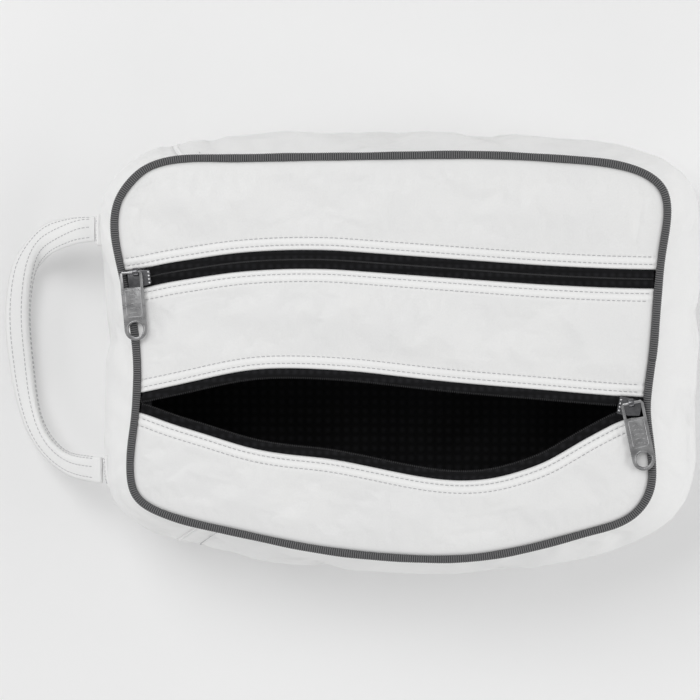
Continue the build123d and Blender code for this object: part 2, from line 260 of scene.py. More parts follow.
def lip_opening(x):
    """How far the lower lip hangs below its closed line, 0 at both ends."""
    y = np.interp(x, LIP_LINE[:, 0], LIP_LINE[:, 1])
    gap = np.interp(x, LIP_CLOSED[:, 0], LIP_CLOSED[:, 1]) - y
    fade = np.clip((np.asarray(x) + 157.0) / 14.0, 0, 1)
    return np.clip(gap, 0, None) * fade


# ---------------------------------------------------------------- mesh helpers
def make_object(name, verts, faces):
    mesh = bpy.data.meshes.new(name)
    mesh.from_pydata((np.asarray(verts) * MM).tolist(), [], [tuple(map(int, f)) for f in faces])
    mesh.validate()
    mesh.update()
    mesh.polygons.foreach_set("use_smooth", [True] * len(mesh.polygons))
    obj = bpy.data.objects.new(name, mesh)
    bpy.context.scene.collection.objects.link(obj)
    return obj


def grid_faces(rows, cols, closed=False):
    i, j = np.meshgrid(np.arange(rows - 1), np.arange(cols if closed else cols - 1), indexing="ij")
    k = (j + 1) % cols
    return np.stack([i * cols + j, i * cols + k, (i + 1) * cols + k, (i + 1) * cols + j],
                    -1).reshape(-1, 4)


def tube_faces(rings, sides):
    """Quads of a tube of closed rings, with flat ends."""
    faces = grid_faces(rings, sides, True).tolist()
    faces.append(list(range(sides))[::-1])
    faces.append([(rings - 1) * sides + k for k in range(sides)])
    return faces


def ring_faces(rings, sides):
    """Quads of a tube whose last ring joins its first."""
    last = (rings - 1) * sides
    return grid_faces(rings, sides, True).tolist() + [
        [last + k, last + (k + 1) % sides, (k + 1) % sides, k] for k in range(sides)]


def face_outwards(obj):
    bm = bmesh.new()
    bm.from_mesh(obj.data)
    bmesh.ops.recalc_face_normals(bm, faces=bm.faces)
    bm.to_mesh(obj.data)
    bm.free()
    return obj


def freeze(obj):
    """Apply an object's modifiers to its mesh."""
    deps = bpy.context.evaluated_depsgraph_get()
    mesh = bpy.data.meshes.new_from_object(obj.evaluated_get(deps), preserve_all_data_layers=True,
                                           depsgraph=deps)
    old = obj.data
    obj.modifiers.clear()
    obj.data = mesh
    bpy.data.meshes.remove(old)
    mesh.name = obj.name
    return obj


def thicken(obj, thickness, offset=-1.0):
    """Give an open sheet a thickness, inwards from its outer side."""
    mesh = obj.data
    middle = Vector((0, 0, 0.055))
    facing = sum(p.normal.dot(p.center - middle) * p.area for p in mesh.polygons)
    if facing < 0:
        mesh.flip_normals()
    m = obj.modifiers.new("thick", "SOLIDIFY")
    m.thickness = thickness * MM
    m.offset = offset
    m.use_even_offset = True
    return freeze(obj)


def bevelled(obj, width, segments, angle):
    m = obj.modifiers.new("bevel", "BEVEL")
    m.width = width * MM
    m.segments = segments
    m.limit_method = "ANGLE"
    m.angle_limit = math.radians(angle)
    m.harden_normals = False
    return freeze(obj)


def coords(obj):
    co = np.zeros(len(obj.data.vertices) * 3, np.float32)
    obj.data.vertices.foreach_get("co", co)
    return co.reshape(-1, 3).astype(float) / MM


def set_coords(obj, co):
    obj.data.vertices.foreach_set("co", (co * MM).astype(np.float32).ravel())
    obj.data.update()


def attribute(obj, name, values):
    a = obj.data.attributes.get(name) or obj.data.attributes.new(name, "FLOAT", "POINT")
    a.data.foreach_set("value", np.asarray(values, np.float32))


def no_stitch_pull(obj):
    for name in ("stitch_pull", "stitch_phase"):
        attribute(obj, name, np.zeros(len(obj.data.vertices)))


def set_weights(obj, values):
    attribute(obj, "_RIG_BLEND", values)


def finish_piece(obj, material, body=None, replaces=()):
    obj.data.materials.clear()
    obj.data.materials.append(material)
    if body:
        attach(obj, body)
    if replaces:
        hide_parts(*replaces)
    return obj


def relax_cloth(obj, pinned, pressure, frames, grow, limit):
    """Let a sheet settle as cloth about its pinned vertices; no vertex moves more than limit."""
    before = coords(obj)
    group = obj.vertex_groups.new(name="pin")
    for i, w in enumerate(pinned):
        if w > 0:
            group.add([i], float(w), "REPLACE")
    m = obj.modifiers.new("cloth", "CLOTH")
    s = m.settings
    s.quality = 6
    s.mass = 0.25
    s.tension_stiffness = s.compression_stiffness = 25
    s.shear_stiffness = 12
    s.bending_stiffness = 2.0
    s.air_damping = 3
    s.vertex_group_mass = "pin"
    s.pin_stiffness = 1
    s.shrink_min = -grow
    s.use_pressure = pressure != 0
    s.uniform_pressure_force = pressure
    s.effector_weights.gravity = 0.0
    m.collision_settings.use_collision = False
    m.point_cache.frame_start = 1
    m.point_cache.frame_end = frames
    for f in range(1, frames + 1):
        bpy.context.scene.frame_set(f)
    freeze(obj)
    bpy.context.scene.frame_set(1)
    after = coords(obj)
    step = after - before
    size = np.linalg.norm(step, axis=1)
    step *= (np.minimum(size, limit) / np.maximum(size, 1e-9))[:, None]
    set_coords(obj, before + step)
    for g in list(obj.vertex_groups):
        obj.vertex_groups.remove(g)


# ---------------------------------------------------------------- materials
class Nodes:
    """Short way to build a node material."""

    def __init__(self, name):
        self.mat = bpy.data.materials.new(name)
        self.mat.use_nodes = True
        self.tree = self.mat.node_tree
        self.tree.nodes.clear()
        self.out = self.add("ShaderNodeOutputMaterial")
        self.bsdf = self.add("ShaderNodeBsdfPrincipled")
        self.link(self.bsdf.outputs[0], self.out.inputs[0])
        self.position = self.add("ShaderNodeTexCoord").outputs["Object"]

    def add(self, kind, **settings):
        node = self.tree.nodes.new(kind)
        for key, value in settings.items():
            setattr(node, key, value)
        return node

    def link(self, a, b):
        self.tree.links.new(a, b)

    def noise(self, scale, detail=4.0, rough=0.55, stretch=None):
        node = self.add("ShaderNodeTexNoise")
        node.inputs["Scale"].default_value = scale
        node.inputs["Detail"].default_value = detail
        node.inputs["Roughness"].default_value = rough
        self.link(self.stretched(stretch), node.inputs["Vector"])
        return node.outputs["Fac"]

    def stretched(self, stretch):
        if stretch is None:
            return self.position
        node = self.add("ShaderNodeMapping")
        node.inputs["Scale"].default_value = stretch
        self.link(self.position, node.inputs["Vector"])
        return node.outputs["Vector"]

    def cells(self, scale):
        node = self.add("ShaderNodeTexVoronoi", feature="F1")
        node.inputs["Scale"].default_value = scale
        self.link(self.position, node.inputs["Vector"])
        return node.outputs["Distance"]

    def wave(self, scale, direction="X", distortion=0.0, detail=0.0):
        node = self.add("ShaderNodeTexWave", bands_direction=direction)
        node.inputs["Scale"].default_value = scale
        node.inputs["Distortion"].default_value = distortion
        node.inputs["Detail"].default_value = detail
        self.link(self.position, node.inputs["Vector"])
        return node.outputs["Fac"]

    def attr(self, name):
        return self.add("ShaderNodeAttribute", attribute_name=name).outputs["Fac"]

    def math(self, op, a, b=None):
        node = self.add("ShaderNodeMath", operation=op)
        for socket, value in zip(node.inputs, (a, b)):
            if value is None:
                continue
            if isinstance(value, (int, float)):
                socket.default_value = value
            else:
                self.link(value, socket)
        return node.outputs[0]

    def ramp(self, fac, low, high, low_at=0.0, high_at=1.0):
        """Colour or grey between two ends."""
        node = self.add("ShaderNodeValToRGB")
        e = node.color_ramp.elements
        e[0].position, e[1].position = low_at, high_at
        e[0].color = tuple(low) + (1,) if hasattr(low, "__len__") else (low, low, low, 1)
        e[1].color = tuple(high) + (1,) if hasattr(high, "__len__") else (high, high, high, 1)
        self.link(fac, node.inputs["Fac"])
        return node.outputs["Color"]

    def mix(self, fac, a, b):
        node = self.add("ShaderNodeMix", data_type="RGBA")
        for socket, value in ((node.inputs[0], fac), (node.inputs[6], a), (node.inputs[7], b)):
            if hasattr(value, "is_output"):
                self.link(value, socket)
            elif hasattr(value, "__len__"):
                socket.default_value = tuple(value) + (1,)
            else:
                socket.default_value = value
        return node.outputs[2]

    def bump(self, height, distance, strength=1.0, normal=None):
        node = self.add("ShaderNodeBump")
        node.inputs["Distance"].default_value = distance * MM
        node.inputs["Strength"].default_value = strength
        self.link(height, node.inputs["Height"])
        if normal is not None:
            self.link(normal, node.inputs["Normal"])
        return node.outputs["Normal"]

    def set(self, **values):
        for key, value in values.items():
            socket = self.bsdf.inputs[key.replace("_", " ")]
            if hasattr(value, "is_output"):
                self.link(value, socket)
            elif hasattr(value, "__len__"):
                socket.default_value = tuple(value) + (1,)
            else:
                socket.default_value = value
        return self.mat


def leatherette(name, colour, shade, sewn=False):
    """Coated white leatherette: fine pebble grain and faint creases.

    A sewn one also has the puckering that topstitching pulls into its folded edges, painted shade that makes
    it slightly darker in the folds along its stitch rows, and a painted highlight on the band along each
    folded edge."""
    n = Nodes(name)
    tone = n.ramp(n.noise(22, 5), shade, colour, 0.32, 0.62)
    pebble = n.cells(1150)
    tone = n.mix(n.math("MULTIPLY", pebble, 0.18), tone, [c * 0.9 for c in shade])
    crease = n.noise(85, 8, 0.65, (1.0, 0.55, 1.0))
    normal = n.bump(pebble, 0.14, 0.55)
    normal = n.bump(n.noise(620, 5, 0.6), 0.22, 0.45, normal)
    normal = n.bump(crease, 0.4, 0.22, normal)
    if sewn:
        pull = n.math("MULTIPLY", n.attr("stitch_pull"), n.math("SINE", n.attr("stitch_phase")))
        normal = n.bump(pull, 0.22, 0.8, normal)
        # Painted highlight: a lighter band along each folded zip edge.
        tone = n.mix(n.attr("fold_highlight_band"), tone, (0.93, 0.93, 0.925))
        # Painted shade: darker along the stitch rows, where the puckers lie in shade.
        darker = n.math("MULTIPLY", n.attr("stitch_pull"), 0.12)
        tone = n.mix(darker, tone, [c * 0.72 for c in shade])
    rough = n.ramp(n.noise(160, 4), 0.40, 0.56, 0.3, 0.7)
    return n.set(Base_Color=tone, Roughness=rough, Normal=normal, Coat_Weight=0.08,
                 Coat_Roughness=0.45, Specular_IOR_Level=0.42)


def ribbed_fabric(name, dark, light):
    n = Nodes(name)
    fibre = n.noise(900, 5, 0.6, (1.0, 1.0, 0.4))
    # Painted shade and highlight: tone follows the rib height, darker in the troughs and lighter on the
    # crests.
    tone = n.ramp(n.attr("rib"), dark, light, 0.15, 0.95)
    tone = n.mix(n.math("MULTIPLY", fibre, 0.45), tone, [c * 0.45 for c in dark])
    normal = n.bump(fibre, 0.16, 0.7)
    return n.set(Base_Color=tone, Roughness=n.ramp(fibre, 0.62, 0.86), Normal=normal,
                 Specular_IOR_Level=0.2, Sheen_Weight=0.08, Sheen_Roughness=0.5)


def woven(name, dark, light, pitch, roughness):
    """Plain weave of crossing threads, pitch in mm."""
    n = Nodes(name)
    scale = 314.159 / pitch / 10
    weave = n.math("MULTIPLY", n.wave(scale, "X", 0.4, 1), n.wave(scale, "Y", 0.4, 1))
    weave = n.math("ADD", weave, n.math("MULTIPLY", n.wave(scale, "Z", 0.4, 1), 0.5))
    slub = n.noise(420, 5, 0.6)
    tone = n.ramp(n.math("ADD", n.math("MULTIPLY", weave, 0.6), n.math("MULTIPLY", slub, 0.5)),
                  dark, light, 0.25, 1.0)
    normal = n.bump(weave, 0.12, 0.8)
    normal = n.bump(slub, 0.08, 0.5, normal)
    return n.set(Base_Color=tone, Roughness=n.ramp(slub, roughness - 0.1, roughness + 0.1),
                 Normal=normal, Specular_IOR_Level=0.12, Sheen_Weight=0.01, Sheen_Roughness=0.5)


def plated_metal(name, colour, edge, rough):
    """Worn dark nickel plate with fine scratches."""
    n = Nodes(name)
    cloud = n.noise(130, 6, 0.6)
    scratch = n.noise(900, 3, 0.5, (0.12, 1.6, 1.0))
    tone = n.ramp(cloud, colour, edge, 0.3, 0.75)
    roughness = n.ramp(n.math("ADD", n.math("MULTIPLY", cloud, 0.6), n.math("MULTIPLY", scratch, 0.4)),
                       rough, rough + 0.22, 0.3, 0.75)
    normal = n.bump(scratch, 0.02, 0.4)
    return n.set(Base_Color=tone, Metallic=1.0, Roughness=roughness, Normal=normal)


def plastic(name, colour, light):
    n = Nodes(name)
    cloud = n.noise(700, 4)
    return n.set(Base_Color=n.ramp(cloud, colour, light), Roughness=n.ramp(cloud, 0.32, 0.5),
                 Normal=n.bump(cloud, 0.03, 0.4), Coat_Weight=0.1)


def thread(name, dark, light):
    """Twisted polyester sewing thread."""
    n = Nodes(name)
    twist = n.noise(2600, 3, 0.5, (1.0, 0.5, 1.0))
    return n.set(Base_Color=n.ramp(twist, dark, light, 0.3, 0.7), Roughness=n.ramp(twist, 0.5, 0.75),
                 Normal=n.bump(twist, 0.12, 0.8), Sheen_Weight=0.1)


WHITE, WHITE_SHADE = (0.865, 0.865, 0.86), (0.835, 0.836, 0.835)
M_PANEL = leatherette("white_leatherette_panels", WHITE, WHITE_SHADE, True)
M_SHELL = leatherette("white_leatherette_sides", WHITE, WHITE_SHADE)
M_STRAP = leatherette("white_leatherette_strap", WHITE, WHITE_SHADE, True)
# The piping's dark and light ends are painted shade in its rib troughs and painted highlight on its crests.
M_PIPING = ribbed_fabric("grey_ribbed_piping", (0.03, 0.03, 0.032), (0.25, 0.25, 0.255))
M_TAPE = woven("black_zip_tape", (0.0035, 0.0035, 0.004), (0.016, 0.016, 0.018), 0.5, 0.68)
M_COIL = plastic("black_nylon_coil", (0.008, 0.008, 0.009), (0.035, 0.035, 0.037))
M_METAL = plated_metal("gunmetal_slider", (0.09, 0.09, 0.095), (0.22, 0.22, 0.23), 0.16)
M_PULL = plated_metal("gunmetal_pull", (0.27, 0.27, 0.275), (0.5, 0.5, 0.505), 0.2)
# Painted glint: the studs' bright plate stands in for the glints on the slider's wide end.
M_BRIGHT = plated_metal("bright_nickel_painted_glint", (0.62, 0.62, 0.63), (0.8, 0.8, 0.81), 0.12)
M_LINING = woven("black_nylon_lining", (0.004, 0.004, 0.0045), (0.018, 0.018, 0.02), 0.6, 0.62)
M_BINDING = woven("black_seam_binding", (0.006, 0.006, 0.007), (0.03, 0.03, 0.032), 0.8, 0.75)
M_THREAD = thread("light_grey_thread", (0.36, 0.36, 0.37), (0.56, 0.56, 0.57))


# ---------------------------------------------------------------- front panels
def crossing(loop, curve, right):
    """Index on a closed loop where it crosses y = curve(x), on the chosen side."""
    side = loop[:, 1] - curve(loop[:, 0])
    change = np.where(np.sign(side) != np.sign(np.roll(side, -1)))[0]
    change = [i for i in change if (loop[i, 0] > 0) == right and abs(loop[i, 0]) > 130]
    return int(change[0])


def loop_slice(loop, start, end):
    """Points going anticlockwise from start to end."""
    n = len(loop)
    count = (end - start) % n
    return loop[(start + np.arange(count + 1)) % n]


def nearest(loop, point):
    return int(np.argmin(np.linalg.norm(loop - np.array(point), axis=1)))


def coons(bottom, top, left, right, us, vs):
    """Surface patch between four boundary curves, all running left to right or low to high."""
    def at(curve, t):
        d = lengths(curve)
        return np.stack([np.interp(t * d[-1], d, curve[:, k]) for k in range(2)], 1)
    b, t = at(bottom, us), at(top, us)
    l, r = at(left, vs), at(right, vs)
    u, v = us[None, :, None], vs[:, None, None]
    grid = (1 - v) * b[None] + v * t[None] + (1 - u) * l[:, None] + u * r[:, None]
    grid -= ((1 - u) * (1 - v) * b[0] + u * (1 - v) * b[-1] + (1 - u) * v * t[0] + u * v * t[-1])
    return grid


def edge_rows(height, low_seam, high_seam, count):
    """Row positions 0..1, closer together beside a sewn zip edge."""
    near = np.array([0, 0.45, 1.0, 1.7, 2.5, 3.2, 3.9, 4.9, 6.0, 7.0, 7.8, 8.6, 9.8, 11.6, 14.0])
    rim = np.array([0, 0.8, 1.8, 3.0, 4.6, 7.0, 10.0])
    low = near if low_seam else rim
    high = near if high_seam else rim
    middle = np.linspace(low[-1], height - high[-1], count)[1:-1]
    return np.concatenate([low, middle, height - high[::-1]]) / height


UPPER_FOLD = offset_open(UPPER_MID, HALF_BAND)
MIDDLE_TOP = offset_open(UPPER_MID, -HALF_BAND)
MIDDLE_BOTTOM = offset_open(LOWER_MID, HALF_BAND)


def line_curve(line):
    return lambda x: np.interp(x, line[:, 0], line[:, 1])


def between(line, left, right):
    """Part of a left-to-right line between two end points."""
    inner = line[(line[:, 0] > left[0] + 0.3) & (line[:, 0] < right[0] - 0.3)]
    return np.vstack([left[None], inner, right[None]])


STITCH_ROWS = (3.2, 7.8)
STITCH_PITCH = 3.1
THREAD_R = 0.24
STITCH_SHARE = 0.74          # thread on top, as a share of the pitch


def seam_profile(d):
    """Height of a folded, twice-stitched edge at distance d from the fold."""
    z = -1.5 * np.clip(1 - d / 1.3, 0, 1) ** 2
    for row in STITCH_ROWS:
        z -= 0.42 * np.exp(-((d - row) / 0.75) ** 2)
    z += 0.25 * np.exp(-((d - 5.5) / 1.3) ** 2)
    return z


def crown_profile(d, rise, reach):
    return rise * (1 - np.exp(-np.clip(d, 0, None) / reach))


def under_pull(x, y, z):
    """Height kept below the upper pull where it lies once its zip is fully open."""
    away = np.hypot(np.clip(np.abs(x - 142) - 13, 0, None), np.clip(np.abs(y - 28) - 21, 0, None))
    ceiling = 112.2 + 0.10 * away + 0.004 * away ** 2
    return -0.3 * np.logaddexp(-z / 0.3, -ceiling / 0.3)


def build_panel(name, bottom, top, left, right, seams, rise, waves, seed, columns=210, count=30):
    height = np.linalg.norm(top[len(top) // 2] - bottom[len(bottom) // 2])
    vs = edge_rows(height, "bottom" in seams, "top" in seams, count)
    us = (1 - np.cos(np.linspace(0, math.pi, columns))) / 2
    us = 0.8 * np.linspace(0, 1, columns) + 0.2 * us
    grid = coons(bottom, top, left, right, us, vs)
    xy = grid.reshape(-1, 2)
    rim = polyline_distance(xy, np.vstack([PANEL_LOOP, PANEL_LOOP[:1]])[::4])
    z = np.full(len(xy), DEPTH)
    z -= 1.4 * np.clip(1 - rim / 2.6, 0, 1) ** 1.5
    seam = np.full(len(xy), 1e3)
    for line in seams.values():
        seam = np.minimum(seam, polyline_distance(xy, line))
    z += seam_profile(seam)
    z += crown_profile(np.minimum(rim, seam + 4) - 3, rise, 16)
    fade = np.clip(np.minimum(rim, seam) / 14, 0, 1)
    big = soft_noise(xy[:, 0], xy[:, 1] * 1.5, np.zeros(len(xy)), 75, seed)
    small = soft_noise(xy[:, 0] * 0.7, xy[:, 1] * 1.6, np.zeros(len(xy)), 28, seed + 7)
    z += fade * (waves * 2.6 * big + waves * 0.9 * small)
    phase = 2 * math.pi * xy[:, 0] / STITCH_PITCH
    pull = sum(np.exp(-((seam - row) / 1.1) ** 2) for row in STITCH_ROWS)
    obj = make_object(name, np.column_stack([xy, z]), grid_faces(len(vs), len(us)))
    # stitch_pull shapes the puckers and also sets the painted shade along the stitch rows.
    attribute(obj, "stitch_pull", pull)
    attribute(obj, "stitch_phase", phase)
    # Painted highlight: strength of the lighter band along a folded zip edge.
    attribute(obj, "fold_highlight_band", 0.85 * np.clip((9.6 - seam) / 1.4, 0, 1))
    pins = np.clip(1 - np.minimum(rim, seam - 6) / 12, 0, 1) ** 2
    pins[rim < 4] = 1
    pins[seam < 9] = 1
    relax_cloth(obj, pins, 0.35, 16, 0.012, 5.0)
    if name == "front_middle_panel_skin":
        for vertex in obj.data.vertices:
            vertex.co.z = float(under_pull(*vertex.co / MM)) * MM
    return obj


TOP_RIGHT, TOP_LEFT = nearest(PANEL_LOOP, (163, 109)), nearest(PANEL_LOOP, (-160, 106))
LOW_LEFT, LOW_RIGHT = nearest(PANEL_LOOP, (-151, -88.5)), nearest(PANEL_LOOP, (155, -89))


def side_index(line, right):
    return crossing(PANEL_LOOP, line_curve(line), right)


# upper panel
r0, l0 = side_index(UPPER_FOLD, True), side_index(UPPER_FOLD, False)
right = loop_slice(PANEL_LOOP, r0, TOP_RIGHT)
top = loop_slice(PANEL_LOOP, TOP_RIGHT, TOP_LEFT)[::-1]
left = loop_slice(PANEL_LOOP, TOP_LEFT, l0)[::-1]
bottom = between(UPPER_FOLD, left[0], right[0])
upper_panel = build_panel("front_upper_panel_skin", bottom, top, left, right,
                          {"bottom": UPPER_FOLD}, 2.6, 1.0, 3.0)
# middle panel
r1, l1 = side_index(MIDDLE_BOTTOM, True), side_index(MIDDLE_BOTTOM, False)
r2, l2 = side_index(MIDDLE_TOP, True), side_index(MIDDLE_TOP, False)
right = loop_slice(PANEL_LOOP, r1, r2)
left = loop_slice(PANEL_LOOP, l2, l1)[::-1]
top = between(MIDDLE_TOP, left[-1], right[-1])
bottom = between(MIDDLE_BOTTOM, left[0], right[0])
middle_panel = build_panel("front_middle_panel_skin", bottom, top, left, right,
                           {"bottom": MIDDLE_BOTTOM, "top": MIDDLE_TOP}, 2.2, 1.0, 11.0)
# lower panel
r3, l3 = side_index(LIP_LINE, True), side_index(LIP_LINE, False)
right = loop_slice(PANEL_LOOP, LOW_RIGHT, r3)
left = loop_slice(PANEL_LOOP, l3, LOW_LEFT)[::-1]
bottom = loop_slice(PANEL_LOOP, LOW_LEFT, LOW_RIGHT)
top = between(LIP_LINE, left[-1], right[-1])
lower_panel = build_panel("front_lower_panel_skin", bottom, top, left, right,
                          {"top": LIP_LINE}, 3.0, 1.2, 23.0)


# ---------------------------------------------------------------- how the lips move
def lip_weight(xy):
    """Share of the lower lip's travel that a point on the lower panel takes."""
    opening = lip_opening(xy[:, 0]) / LIP_TRAVEL
    lip_y = np.interp(xy[:, 0], LIP_LINE[:, 0], LIP_LINE[:, 1])
    base_y = lip_y - 46.0
    v = np.clip((xy[:, 1] - base_y - 4) / (lip_y - base_y - 14), 0, 1)
    return opening * v * v * (3 - 2 * v)


def upper_lip_weight(xy):
    """Share of the upper zip's opening that a point on the middle panel takes."""
    x = xy[:, 0]
    span = np.clip((x + 150) / 60, 0, 1) * np.clip((146 - x) / 60, 0, 1)
    span = span * span * (3 - 2 * span)
    top_y = np.interp(x, MIDDLE_TOP[:, 0], MIDDLE_TOP[:, 1])
    v = np.clip((xy[:, 1] - top_y + 46) / 34, 0, 1)
    return span * v * v * (3 - 2 * v)


def blend_lower(obj):
    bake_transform(obj, "bag", "lower_zip_lip", (0, -0.12, 0.11), (0, -0.02, 0.11))
    set_weights(obj, lip_weight(coords(obj)[:, :2]))


def blend_upper(obj):
    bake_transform(obj, "bag", "upper_zip_lip", (0, 0.0, 0.11), (0, 0.06, 0.11))
    set_weights(obj, upper_lip_weight(coords(obj)[:, :2]))


# ---------------------------------------------------------------- stitches
def capsules(name, starts, ends, normals, radius, sides=6):
    """Row of thread stitches, each a short bowed capsule."""
    verts, faces = [], []
    ring_at = (0.0, 0.06, 0.25, 0.5, 0.75, 0.94, 1.0)
    ring_size = (0.25, 0.72, 0.98, 1.0, 0.98, 0.72, 0.25)
    ring_lift = (-0.75, -0.35, 0.1, 0.22, 0.1, -0.35, -0.75)
    for a, b, n in zip(starts, ends, normals):
        axis = b - a
        axis /= np.linalg.norm(axis)
        side = np.cross(n, axis)
        base = len(verts)
        for t, size, lift in zip(ring_at, ring_size, ring_lift):
            c = a + (b - a) * t + n * radius * lift
            for k in range(sides):
                angle = 2 * math.pi * k / sides
                verts.append(c + radius * size * (math.cos(angle) * side + math.sin(angle) * n))
        for i in range(len(ring_at) - 1):
            for k in range(sides):
                m = (k + 1) % sides
                faces.append((base + i * sides + k, base + (i + 1) * sides + k,
                              base + (i + 1) * sides + m, base + i * sides + m))
        faces.append(tuple(base + k for k in range(sides)))
        faces.append(tuple(base + (len(ring_at) - 1) * sides + k for k in range(sides))[::-1])
    obj = make_object(name, verts, faces)
    return face_outwards(obj)


def surface_tree(obj):
    co = coords(obj)
    return BVHTree.FromPolygons([tuple(c) for c in co], [tuple(p.vertices) for p in obj.data.polygons])


def drop(tree, xy, lift):
    """Points on the sheet below xy, raised by lift."""
    out = []
    for x, y in xy:
        hit = tree.ray_cast(Vector((x, y, 200)), Vector((0, 0, -1)))[0]
        out.append((x, y, (hit.z if hit else DEPTH) + lift))
    return np.array(out)


def stitch_line(line, pitch, share):
    """Start and end points of stitches along a 2-D or 3-D line."""
    _, total = along(line, [0])
    begin = np.arange(int(total / pitch)) * pitch
    starts, _ = along(line, begin + pitch * (1 - share) / 2)
    ends, _ = along(line, begin + pitch * (1 + share) / 2)
    return starts, ends


def inside_loop(line, loop, margin):
    """Part of a line that stays inside a closed loop."""
    closed = np.vstack([loop, loop[:1]])
    keep = polyline_distance(line, closed[::4]) > margin
    x_low = loop[:, 0].min()
    keep &= (line[:, 0] > x_low) & (line[:, 0] < loop[:, 0].max())
    middle = np.where(keep & (np.abs(line[:, 0]) < 60))[0]
    i, j = middle[0], middle[-1]
    while i > 0 and keep[i - 1]:
        i -= 1
    while j < len(line) - 1 and keep[j + 1]:
        j += 1
    return line[i:j + 1]


def topstitch(name, panel, fold, side, mover=None):
    tree = surface_tree(panel)
    starts, ends = [], []
    for row in STITCH_ROWS:
        line = inside_loop(offset_open(fold, side * row), PANEL_LOOP, 1.6)
        s, e = stitch_line(line, STITCH_PITCH, STITCH_SHARE)
        starts.append(drop(tree, s, 0.10))
        ends.append(drop(tree, e, 0.10))
    starts, ends = np.vstack(starts), np.vstack(ends)
    obj = capsules(name, starts, ends, np.tile((0.0, 0.0, 1.0), (len(starts), 1)), THREAD_R)
    finish_piece(obj, M_THREAD, None if mover else "bag")
    if mover:
        mover(obj)
    return obj


topstitch("upper_panel_topstitch", upper_panel, UPPER_FOLD, 1)
topstitch("middle_panel_upper_topstitch", middle_panel, MIDDLE_TOP, -1, blend_upper)
topstitch("middle_panel_lower_topstitch", middle_panel, MIDDLE_BOTTOM, 1)
topstitch("lower_panel_topstitch", lower_panel, LIP_LINE, -1, blend_lower)

for panel, node in ((upper_panel, "front_upper_panel"), (middle_panel, "front_middle_panel"),
                    (lower_panel, "front_lower_panel")):
    thicken(panel, 1.5)
    finish_piece(panel, M_PANEL,
                 "bag" if panel is upper_panel else None, (node,))
blend_upper(middle_panel)
blend_lower(lower_panel)


# ---------------------------------------------------------------- side wall
def wall_grid(low, high, inset, rows, per_span=12):
    zs = np.linspace(low, high, rows)
    count = len(FRONT_OUTLINE) * per_span
    return np.stack([np.column_stack([wall_loop(z, inset, per_span), np.full(count, z)]) for z in zs])


def wall_normals(grid):
    """Outward direction in plan at each point of a wall grid."""
    tangent = np.roll(grid, -1, 1) - np.roll(grid, 1, 1)
    normal = np.stack([tangent[..., 1], -tangent[..., 0]], -1).reshape(-1, 2)
    return normal / np.linalg.norm(normal, axis=1)[:, None]


def build_wall():
    rows = 44
    grid = wall_grid(GUSSET_Z[0] - 1.0, GUSSET_Z[1] + 1.2, -0.9, rows)
    flat = grid.reshape(-1, 3)
    t = np.repeat(np.linspace(0, 1, rows), grid.shape[1])
    normal = wall_normals(grid)
    fade = np.sin(math.pi * t) ** 0.7
    big = soft_noise(flat[:, 0], flat[:, 1], flat[:, 2] * 1.3, 62, 5.0)
    small = soft_noise(flat[:, 0] * 1.3, flat[:, 1] * 1.3, flat[:, 2] * 0.45, 24, 9.0)
    fold = soft_noise(flat[:, 0] * 0.55, flat[:, 1] * 0.55, flat[:, 2] * 1.9, 15, 15.0)
    crease = -np.exp(-(fold / 0.09) ** 2) * np.clip(soft_noise(*flat.T, 48, 19.0) * 3, 0, 1)
    out = fade * (2.8 * big + 1.0 * small + 1.1 * crease)
    rim = np.exp(-np.minimum(t, 1 - t) * 22)
    arc = np.arctan2(flat[:, 1], flat[:, 0])
    out += rim * 0.28 * np.sin(arc * 55 + 2 * np.sin(arc * 9))
    for y in (79.0, -73.5):
        under = np.exp(-((flat[:, 1] - y) / 15) ** 4) * (flat[:, 0] < -120)
        out *= 1 - 0.85 * under * np.exp(-((flat[:, 2] - 57) / 20) ** 4)
    out = np.clip(out, -2.2, 3.2)
    flat[:, :2] += normal * out[:, None]
    return grid


wall = build_wall()
SEAM_X = -135.0


def wall_piece(name, keep, node):
    rows, cols = wall.shape[:2]
    xs = wall[rows // 2, :, 0]
    chosen = np.where(xs < SEAM_X if keep == "left" else xs > SEAM_X)[0]
    gap = np.where(np.diff(chosen) > 1)[0]
    if len(gap):
        chosen = np.concatenate([chosen[gap[0] + 1:], chosen[:gap[0] + 1]])
    if keep != "left":
        chosen = np.concatenate([[(chosen[0] - 1) % cols], chosen, [(chosen[-1] + 1) % cols]])
    part = wall[:, chosen].copy()
    obj = make_object(name, part.reshape(-1, 3), grid_faces(rows, len(chosen)))
    z = part.reshape(-1, 3)[:, 2]
    t = (z - z.min()) / (z.max() - z.min())
    pins = np.clip(1 - np.minimum(t, 1 - t) / 0.10, 0, 1)
    ends = np.zeros(part.shape[:2])
    ends[:, :3] = ends[:, -3:] = 1
    pins = np.maximum(pins, ends.ravel())
    relax_cloth(obj, pins, 0.5, 16, 0.015, 4.0)
    attribute(obj, "stitch_pull", np.zeros(len(obj.data.vertices)))
    thicken(obj, 1.6)
    return finish_piece(obj, M_SHELL, "bag", (node,))


wall_piece("main_gusset_skin", "right", "main_gusset")
wall_piece("handle_end_gusset_skin", "left", "handle_end_gusset")


def seam_column(at):
    """Column of the wall nearest the gusset seam, on the upper or lower long side."""
    rows = wall.shape[0]
    mid = wall[rows // 2]
    side = mid[:, 1] > 0 if at > 0 else mid[:, 1] < 0
    score = np.abs(mid[:, 0] - SEAM_X) + np.where(side, 0, 1e4)
    return int(np.argmin(score))


def welt(name, column):
    """Rolled seam where the two gusset lengths join."""
    path = wall[:, column]
    outward = np.array([0, 1.0 if path[0, 1] > 0 else -1.0, 0])
    verts = []
    sides = 10
    for p in path:
        for k in range(sides):
            angle = 2 * math.pi * k / sides
            across = np.array([0.9 * math.cos(angle), 0, 0])
            verts.append(p + outward * (0.05 + 0.5 * math.sin(angle)) + across)
    obj = make_object(name, verts, tube_faces(len(path), sides))
    attribute(obj, "stitch_pull", np.zeros(len(verts)))
    return finish_piece(obj, M_SHELL, "bag")


